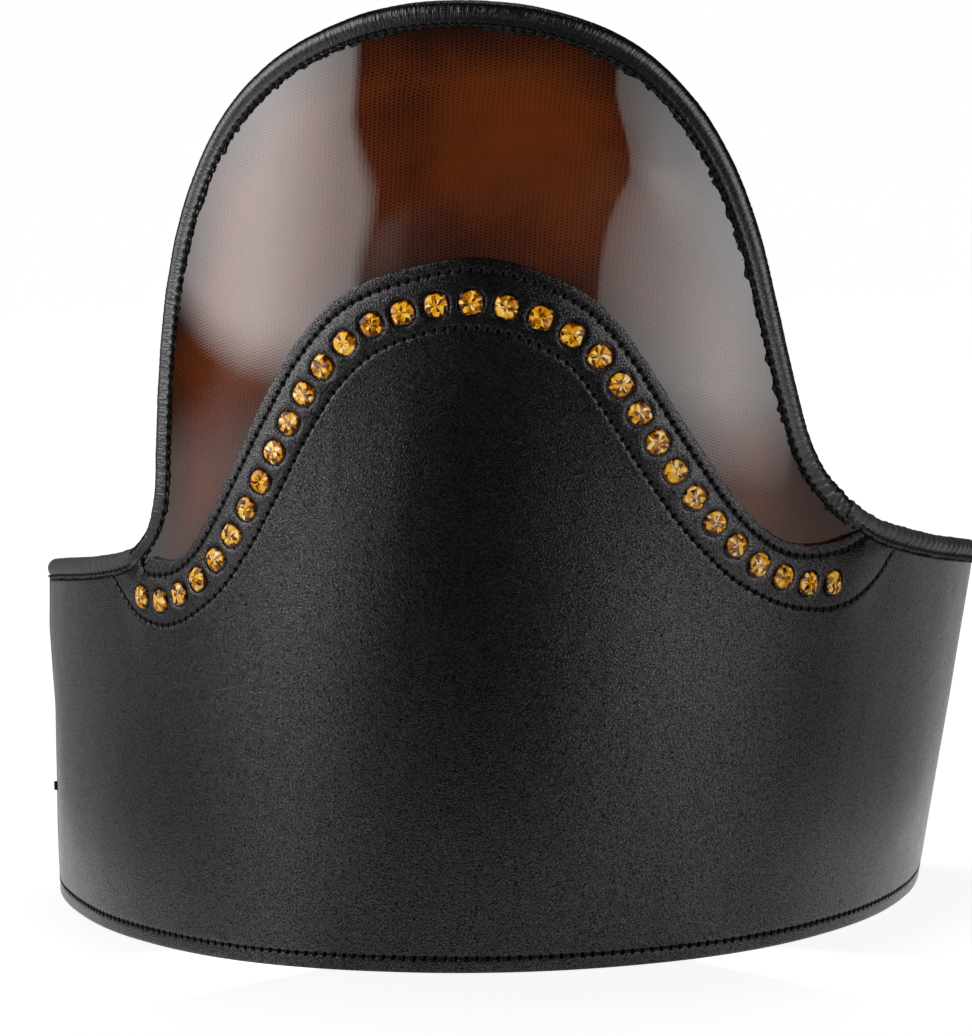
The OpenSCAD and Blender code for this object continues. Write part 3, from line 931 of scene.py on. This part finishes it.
def bind(name, replaced, low, high, step, width, top, first, ragged, shape, leather):
    """Wraps a strip of binding leather round the edge from one running length to another. Its
    first needle hole is at the running length first, and around is 0 in front and 1 inside."""
    section = binding_section(width, top)
    runs = np.linspace(low, high, int((high - low) / step))
    strip = cut_sheet(name, runs, range(len(section)))
    run, row, _ = points_of(strip).T
    inset, n = section[np.rint(row).astype(int)].T
    inset, n = pucker(run, inset, n, width, first, ragged)
    around = np.rint(row) / (len(section) - 1)
    run, inset, n = shape(run, inset, n, n > roll_n, around)
    set_points(strip, run, -inset, n)
    finish_with(strip, "SOLIDIFY", thickness=wrap_t, offset=-1.0)
    lay_along(strip, outline)
    lay_on_shell(strip, 60)
    hand_over(strip, leather, "binding_leather", replaced)


def swollen(inset, n, swell, reach=np.inf):
    """Moved out from the roll's axis, but moved only in n where the inset is past the reach."""
    way = np.column_stack([inset - roll_r, n - roll_n])
    way = way / np.linalg.norm(way, axis=1, keepdims=True)
    return inset + swell * way[:, 0] * (inset < reach), n + swell * way[:, 1]


def pucker(run, inset, n, width, first, ragged):
    """A binding drawn in by its seam: pits at the needle holes and an uneven cut edge."""
    front, seam_depth = n > roll_n, width - seam_inset
    from_seam = inset - seam_depth
    to_hole = to_needle_hole(from_seam, run - first)
    drop = 0.36 * (bell(from_seam, 0, 0.7) + bell(to_hole, 0, 0.6))
    drop = drop + 0.22 * ease(inset, 3.0, seam_depth)
    edge = ease(inset, seam_depth, width)
    jagged = 0.65 * wander(run, 2.6, 31) + 0.5 * wander(run, 0.9, 32)
    jagged = ragged * jagged - 0.1 + 0.1 * to_needle_hole(0, run - first)
    inset = inset + edge * jagged * np.where(front, 1, 0.4)
    drop = drop + edge * (0.12 + 0.3 * wander(run, 1.3, 33)) - 0.3 * bell(edge, 0.5, 0.3)
    return inset, n - np.where(front, drop, -drop)


def crown_shape(run, inset, n, front, around):
    """The crown binding: a crease beside the roll, fine cross wrinkles on the roll, a crumpled
    right end, and a tail that is laid over the left shoulder's roll and cut on the slant."""
    last = ease(run, crown_end - 34, crown_end - 12)
    inset = inset + last * 0.8 * wander(run, 1.1, 44) * ease(inset, 4.6, 6.2)
    crease = bell(inset, 4.3, 0.5) * front
    wrinkle = wander(run + 0.9 * around, 0.5, 41) * (0.6 + 0.4 * wander(run, 3.1, 42))
    swell = 0.075 * wrinkle * bell(around, 0.42, 0.2) + 0.06 * wander(run, 6.5, 43)
    crumple = 0.8 * wander(run + 6 * around, 1.1, 45) + wander(run - 9 * around, 0.6, 46)
    swell = swell + last * (0.17 * crumple - 0.06) * (around < 0.62)
    tail = fade(run, crown_start - 3, crown_start + 4)
    swell = swell + 0.5 * tail - 0.3 * fade(run, crown_start - 9, crown_start - 6)
    swell = swell - 0.22 * ease(run, crown_end - 9, crown_end - 5)
    inset = drawn_in(run, inset, crown_wrap_w, crown_corners, front)
    inset, n = swollen(inset, n, swell, roll_r + 1.4)
    slant = fade(run, crown_start - 9, crown_start + 6)
    depth = np.clip(inset / crown_wrap_w, 0, 1)
    run = run + slant * (3.4 * (1 - depth) - 2.5 * depth)
    return run, inset, n - 0.14 * crease


def left_shape(run, inset, n, front, around):
    """The left shoulder binding: matt, soft and thick, with shallow dents."""
    dents = 0.07 * wander(run + around, 2.3, 51) + 0.05 * wander(run, 0.9, 52)
    swell = (dents + 0.1) * bell(around, 0.42, 0.26)
    inset = drawn_in(run, inset, shoulder_wrap_w, left_corners, front)
    swell = swell - 0.55 * fade(run, 1, 15) - 0.08 * fade(run, 0, 1.2)
    return run, *swollen(inset, n, swell)


rib_runs = crown_end + np.array([-9, 0, 12, 24, 44, 60, 130])
rib_counts = np.array([-2.6, 0, 3.4, 6.8, 12.2, 15.8, 30])


def right_shape(run, inset, n, front, around):
    """The right shoulder binding: crumpled where it starts over the crown binding's end, and
    gathered into ribs further on."""
    far = ease(run, crown_end + 8, crown_end + 18)
    bent = run + 0.9 * wander(run, 5, 61) * (1 - 0.8 * far) + 1.1 * np.cos(6 * around)
    phase = np.interp(bent, rib_runs, rib_counts)
    ribs = np.abs(np.sin(math.pi * phase)) ** 0.6 - 0.62
    ribs = ribs * (0.8 + 0.35 * wander(run, 3.3, 64))
    crumple = 0.5 * wander(run + 7 * around, 1.8, 62) + 0.3 * wander(run - 5 * around, 0.8, 63)
    on_roll = np.exp(-(((around - 0.4) / 0.26) ** 4))
    swell = on_roll * (ribs * (0.5 + 0.42 * far) + 0.22 * crumple * (1 - far) + 0.1)
    over = fade(run, crown_end + 1, crown_end + 9)
    edge = fade(run, crown_end - 8, crown_end - 7)
    inset = drawn_in(run, inset, shoulder_wrap_w, right_corners, front)
    last = outline_run[-1]
    swell = swell - 0.25 * ease(run, last - 1.2, last) - 0.1 * ease(run, last - 14, last)
    inset, n = swollen(inset, n, swell + 0.04 * over - 0.4 * edge)
    lay_over = fade(run, crown_end - 3, crown_end + 3) * ease(inset, 2.4, 3.2) * front
    return run + 1.6 * edge * (0.5 - around), inset, n + 0.32 * lay_over


bind(
    "crown_edge", "crown_binding", crown_start - 9, crown_end, 0.28, crown_wrap_w, patent_top,
    crown_start + 3, 0.62, crown_shape, crown_binding,
)
bind(
    "left_edge", "left_shoulder_binding", 0, crown_start, 0.4, shoulder_wrap_w, calf_top,
    2, 0.3, left_shape, left_binding,
)
bind(
    "right_edge", "right_shoulder_binding", crown_end - 8, outline_run[-1], 0.3,
    shoulder_wrap_w, calf_top, crown_end + 1, 0.3, right_shape, right_binding_painted_light,
)

# ---- Seams ----


def one_stitch():
    """One stitch of thread, straight, with its two ends sinking into their needle holes."""
    length = stitch_pitch - 0.1
    clear_bench()
    bpy.ops.mesh.primitive_cylinder_add(
        vertices=8, radius=thread_r, depth=length, rotation=(0, math.pi / 2, 0),
        end_fill_type="TRIFAN",
    )
    bpy.ops.object.transform_apply()
    stitch = added("stitch")
    open_up(stitch, "EDGE", lambda ends: abs(ends[0].x - ends[1].x) > length / 2)
    bpy.ops.mesh.subdivide(number_cuts=4)
    bpy.ops.object.mode_set(mode="OBJECT")
    x, y, z = points_of(stitch).T
    out = np.abs(x) / (length / 2)
    slim = 1 - 0.35 * out**4
    set_points(stitch, x + stitch_pitch / 2, y * slim, z * slim + 0.06 - 0.5 * out**3)
    return stitch


def sew(name, replaced, line, bed, outwards):
    """Sews one thread along a line. bed is the level its stitches lie on, or None where they lie
    sunk in the calf leather's own face. outwards is 1 on the front and -1 on the inside."""
    row = one_stitch()
    row.name = row.data.name = name
    finish_with(
        row, "ARRAY", count=int(lengths(line)[-1] // stitch_pitch), use_relative_offset=False,
        use_constant_offset=True, constant_offset_displace=(stitch_pitch, 0, 0),
    )
    x, y, z = points_of(row).T
    set_points(row, x, y + 0.05 * wander(x, 1.7, len(name)), z * outwards)
    if outwards < 0:
        row.data.flip_normals()
    lay_along(row, line)
    s, z, n = points_of(row).T
    set_points(row, s, z, n + (calf_face(s, z) - calf_bed if bed is None else bed))
    lay_on_shell(row, 80)
    hand_over(row, thread, "thread", replaced)


# How deep the stitches lie in the calf leather, and how high over what a binding is wrapped on.
calf_bed, wrap_bed = 0.3, wrap_t - 0.25
for stitches, replaced, line, bed, outwards in (
    ("hem_stitches_front", "hem_needle_thread", hem_line, None, 1),
    ("hem_stitches_inside", "hem_bobbin_thread", hem_line, 0.1, -1),
    ("band_upper_stitches", "band_upper_thread", upper_seam, None, 1),
    ("band_lower_stitches", "band_lower_thread", low_seam, None, 1),
    ("crown_stitches_front", "crown_needle_thread", crown_seam, patent_top + wrap_bed, 1),
    ("crown_stitches_inside", "crown_bobbin_thread", crown_seam, -wrap_bed, -1),
    ("left_stitches_front", "left_shoulder_thread", left_seam, calf_top + wrap_bed, 1),
    ("right_stitches_front", "right_shoulder_thread", right_seam, calf_top + wrap_bed, 1),
    ("left_stitches_inside", "left_shoulder_bobbin_thread", left_seam, -wrap_bed, -1),
    ("right_stitches_inside", "right_shoulder_bobbin_thread", right_seam, -wrap_bed, -1),
):
    sew(stitches, replaced, line, bed, outwards)

# ---- Crystals ----


def seat(k, turn, tilt):
    """The place of crystal k: its local Z stands out of the shell, and X follows the row."""
    s, z = crystal_seats[k]
    before, after = crystal_seats[max(k - 1, 0)], crystal_seats[min(k + 1, crystal_count - 1)]
    slope = math.atan2(after[1] - before[1], (after[0] - before[0]) * spread(z))
    a = float(facing(s))
    across, out = (math.cos(a), math.sin(a), 0), (math.sin(a), -math.cos(a), 0)
    axes = Matrix((across, (0, 0, 1), out)).transposed().to_4x4()
    place = Matrix.Translation(Vector(on_shell(s, z, patent_top + float(sway(s, z)))))
    turned = Matrix.Rotation(slope + turn, 4, "Z") @ Matrix.Rotation(tilt, 4, "X")
    return Matrix.Scale(MM, 4) @ place @ axes @ turned


def one_crystal():
    """A cut stone, a little squared: table, star and kite facets, girdle, and a plain underside."""
    rings = (
        (0.3, 0.3, 8, 0), (0.98, 1.3, 16, 0), (1.0, 1.42, 16, 0), (0.86, 1.85, 16, math.pi / 16),
        (0.53, 2.16, 8, 0),
    )
    clear_bench()
    for k, (share, height, corners, turn) in enumerate(rings):
        bpy.ops.mesh.primitive_circle_add(
            vertices=corners, radius=share * crystal_r, location=(0, 0, height),
            rotation=(0, 0, turn),
        )
        if k == 0:
            bpy.ops.object.transform_apply()
            stone = added("stone")
            bpy.ops.object.mode_set(mode="EDIT")
    bpy.ops.mesh.select_all(action="SELECT")
    bpy.ops.mesh.convex_hull(face_threshold=math.radians(2), shape_threshold=math.radians(2))
    bpy.ops.object.mode_set(mode="OBJECT")
    x, y, z = points_of(stone).T
    a = np.arctan2(y, x)
    square = 0.955 / (np.abs(np.cos(a)) ** 4 + np.abs(np.sin(a)) ** 4) ** (1 / 4)
    set_points(stone, x * square, y * square, z)
    return stone


def one_cup():
    """A claw cup: a turned wall with four claws bent in over the girdle."""
    height = 1.25
    clear_bench()
    bpy.ops.mesh.primitive_cylinder_add(
        vertices=32, radius=crystal_r + 0.3, depth=height, location=(0, 0, height / 2)
    )
    bpy.ops.object.transform_apply()
    cup = added("cup")
    open_up(cup, "FACE", lambda corners: min(co.z for co in corners) > height / 2)
    bpy.ops.mesh.inset(thickness=0.22)
    bpy.ops.mesh.extrude_region_move(TRANSFORM_OT_translate={"value": (0, 0, -0.9)})
    bpy.ops.transform.resize(value=(0.8, 0.8, 1), center_override=(0, 0, 0.4))
    bpy.ops.object.mode_set(mode="OBJECT")
    parts = [cup]
    for k in range(4):
        clear_bench()
        bpy.ops.mesh.primitive_uv_sphere_add(
            segments=12, ring_count=8, radius=0.34, scale=(1.15, 0.8, 1.3)
        )
        bpy.ops.object.transform_apply()
        claw = bpy.context.active_object
        a = math.pi / 4 + k * math.pi / 2
        turn = Matrix.Rotation(a, 4, "Z") @ Matrix.Translation((crystal_r + 0.16, 0, 1.4))
        claw.data.transform(turn @ Matrix.Rotation(-0.5, 4, "Y"))
        parts.append(claw)
    return joined(parts, "cup")


def seated(pattern, *place):
    """A copy of a stone or cup in its seat."""
    copy = pattern.copy()
    copy.data = pattern.data.copy()
    bpy.context.collection.objects.link(copy)
    copy.data.transform(seat(*place))
    return copy


def set_crystals():
    stone, cup = one_crystal(), one_cup()
    x, y, _ = points_of(stone).T / (0.95 * crystal_r)
    stones, cups = [], []
    for k in range(crystal_count):
        stones.append(seated(stone, k, chance.uniform(-0.14, 0.14), chance.uniform(-0.06, 0.06)))
        cups.append(seated(cup, k, chance.uniform(-0.08, 0.08), 0.0))
        keep(stones[-1], "facet", x, y, k)
    bpy.data.objects.remove(stone)
    bpy.data.objects.remove(cup)
    hand_over(joined(stones, "crystal_row"), crystal_glass, "crystal", "crystals")
    hand_over(joined(cups, "cup_row"), cup_metal, "cup_metal", "crystal_cups")
    bpy.ops.object.shade_smooth_by_angle(angle=math.radians(45))


set_crystals()

# ---- Ends ----


def whip_ends():
    """Short whipped tacks of thread beside the two cut ends."""
    turns = []
    for side, height in ((-1, 26), (1, 54), (1, 60), (1, 66)):
        s = side * (half_len - 1.2)
        place = Vector(on_shell(s, height, calf_top + 0.45 + sway(s, height)))
        for k in range(4):
            clear_bench()
            bpy.ops.mesh.primitive_torus_add(
                major_radius=0.46, minor_radius=0.26, major_segments=16, minor_segments=8,
                location=(0, 0, (k - 1.5) * 0.5), rotation=(0.25, 0.1 * k, 0),
            )
            bpy.ops.object.transform_apply()
            turn = bpy.context.active_object
            turn.data.transform(Matrix.Scale(MM, 4) @ Matrix.Translation(place))
            turns.append(turn)
    tacks = joined(turns, "end_whippings")
    bpy.ops.object.shade_smooth_by_angle(angle=math.radians(60))
    keep(tacks, "straight", *points_of(tacks).T / MM)
    hand_over(tacks, thread, "thread", "end_tacks")


whip_ends()

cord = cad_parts["edge_cord"]
for place in cord.material_slots:
    place.material = cord_cotton

# ---- Room, light and camera ----


def paper_with_painted_glow():
    """White paper with a painted glow. Seen directly or in a reflection it glows white round the
    part and behind it, and dark in front.
    Farther out it glows in painted pools of light, brightest below the two softboxes, standing in
    for the lit paper of a studio."""
    paper = finish(
        "paper_painted_glow", Base_Color=(0.9, 0.9, 0.9, 1), Roughness=0.9, Specular_IOR_Level=0.1,
        Emission_Color=(1, 1, 1, 1),
    )
    x, y, _ = split(place_in(paper))
    # Painted pools of light on the paper round the part, by direction: dark in front, brightest
    # below the two softboxes.
    degrees_and_painted_glow = (
        (-180, 0.22), (-140, 0.2), (-105, 0.19), (-84, 0.38), (-68, 0.86), (-56, 1.0),
        (-48, 0.8), (-42, 0.36), (-36, 0.09), (-20, 0.03), (0, 0.035), (14, 0.08), (27, 0.4),
        (44, 0.78), (60, 0.6), (76, 0.26), (98, 0.18), (122, 0.24), (145, 0.34), (180, 0.3),
    )
    turn = x.worked("ARCTAN2", y * -1.0).ranged(-math.pi, math.pi, 0.0, 1.0)
    around = ramp(turn, *[(0.5 + a / 360, light) for a, light in degrees_and_painted_glow]) * 1.55
    far = distance(x, y)
    # A further painted pool of light on the paper at the left front.
    left = x.ranged(-0.45, -0.85, 0.0, 0.75) * y.ranged(-0.35, -0.1, 0.0, 1.0)
    left = left * far.ranged(1.15, 1.42, 1.0, 0.0)
    around = around * far.ranged(0.85, 1.15, 1.0, 0.0) + left
    off_axis = abs(x + y * -0.024 + 0.008) + y * -0.09
    behind = y.ranged(0.1, 2.2, 0.91, 0.97) * y.ranged(-0.18, -0.163, 0.0, 1.0)
    behind = behind * off_axis.ranged(0.13, 0.19, 1.0, 0.0)
    seen, glossy, through = [
        wire(paper.node_tree, "LightPath", output=f"Is {kind} Ray")
        for kind in ("Camera", "Glossy", "Transmission")
    ]
    seen = seen.highest(glossy).highest(through)
    feed(paper, Emission_Strength=behind.highest(around) * seen)
    return paper


def lay_floor():
    """A sheet of paper that runs over the table and up the wall behind."""
    size, turns, bend_r = 8, 10, 1.6
    clear_bench()
    bpy.ops.mesh.primitive_plane_add(size=size)
    sweep = added("floor_sweep")
    open_up(sweep, "EDGE", lambda ends: min(co.y for co in ends) > 0)
    for k in range(turns):
        a = (k + 0.5) / turns * math.pi / 2
        step = bend_r * math.pi / 2 / turns
        bpy.ops.mesh.extrude_region_move(
            TRANSFORM_OT_translate={"value": (0, step * math.cos(a), step * math.sin(a))}
        )
    bpy.ops.mesh.extrude_region_move(TRANSFORM_OT_translate={"value": (0, 0, 3)})
    bpy.ops.object.mode_set(mode="OBJECT")
    bpy.ops.object.shade_smooth()
    sweep.data.materials.append(paper_with_painted_glow())
    sweep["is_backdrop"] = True


def hot_spot(light, place, reach, soft):
    """A softbox's own light: brightest at a place on its cloth, and less towards the edges. The
    three pairs are for the cloth's width and height, as shares of it."""
    light.use_nodes = True
    tree = light.node_tree
    total, edge = 1.0, 1.0
    cloth = split(wire(tree, "NewGeometry", output="Parametric"))
    for axis, at, wide, fade in zip(cloth, place, reach, soft):
        off = (axis - at) * (1 / wide)
        total = off * off + total
        edge = abs(axis - 0.5).ranged(0.5 - fade, 0.5, 1.0, 0.0) * edge
    strength = edge.worked("DIVIDE", total)
    tree.links.new(strength.socket, tree.nodes["Emission"].inputs["Strength"])


def turned_to(place, aim, roll):
    """Euler angles that turn a lamp or camera at a place to an aim, then roll it by degrees."""
    turn = (Vector(aim) - Vector(place)).to_track_quat("-Z", "Y").to_matrix()
    return (turn @ Matrix.Rotation(math.radians(roll), 3, "Z")).to_euler()


def lamp(name, place, aim, size, power, spread_angle, lit_only=None, hot=None, roll=0.0):
    light = bpy.data.lights.new(name, "AREA")
    light.shape, light.size, light.size_y = "RECTANGLE", size[0], size[1]
    light.energy, light.spread = power, math.radians(spread_angle)
    holder = bpy.data.objects.new(name, light)
    holder.location = place
    holder.rotation_euler = turned_to(place, aim, roll)
    bpy.context.collection.objects.link(holder)
    if hot:
        hot_spot(light, *hot)
    if lit_only:
        holder.light_linking.receiver_collection = lit_only


lay_floor()
# The two softboxes are flagged off the paper. The paper's brightness is mostly its own painted
# glow; the top light adds a little and casts the part's shadow.
part_pieces = bpy.data.collections.new("part_pieces")
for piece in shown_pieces():
    part_pieces.objects.link(piece)
lamp(
    "left_softbox", (-0.446, -0.076, 0.348), (0.520, 0.183, 0.348), (0.64, 0.50), 2.25, 100,
    part_pieces, ((0.6, 0.2), (0.5, 1.2), (0.04, 0.04)), roll=-7,
)
lamp(
    "right_softbox", (0.30, -0.36, 0.25), (-0.07, -0.07, 0.38), (0.46, 0.50), 1.0, 100,
    part_pieces, ((0.52, 0.2), (0.9, 1.2), (0.03, 0.06)),
)
lamp("top_light", (0, 0.75, 1.8), (0, 0.75, 0), (0.5, 1.5), 1.1, 60)

world = bpy.data.worlds.new("room")
bpy.context.scene.world = world
world.use_nodes = True
world.node_tree.nodes["Background"].inputs["Color"].default_value = (0.03, 0.03, 0.03, 1)

eye = bpy.data.cameras.new("camera")
eye.lens, eye.sensor_width = 188.22, 36
camera = bpy.data.objects.new("camera", eye)
camera.location = (-0.04021, -1.31833, 0.24174)
camera.rotation_euler = turned_to(camera.location, (-0.00878, -0.026, 0.10429), -1.128)
bpy.context.collection.objects.link(camera)
bpy.context.scene.camera = camera
bpy.context.scene.view_settings.view_transform = "Standard"
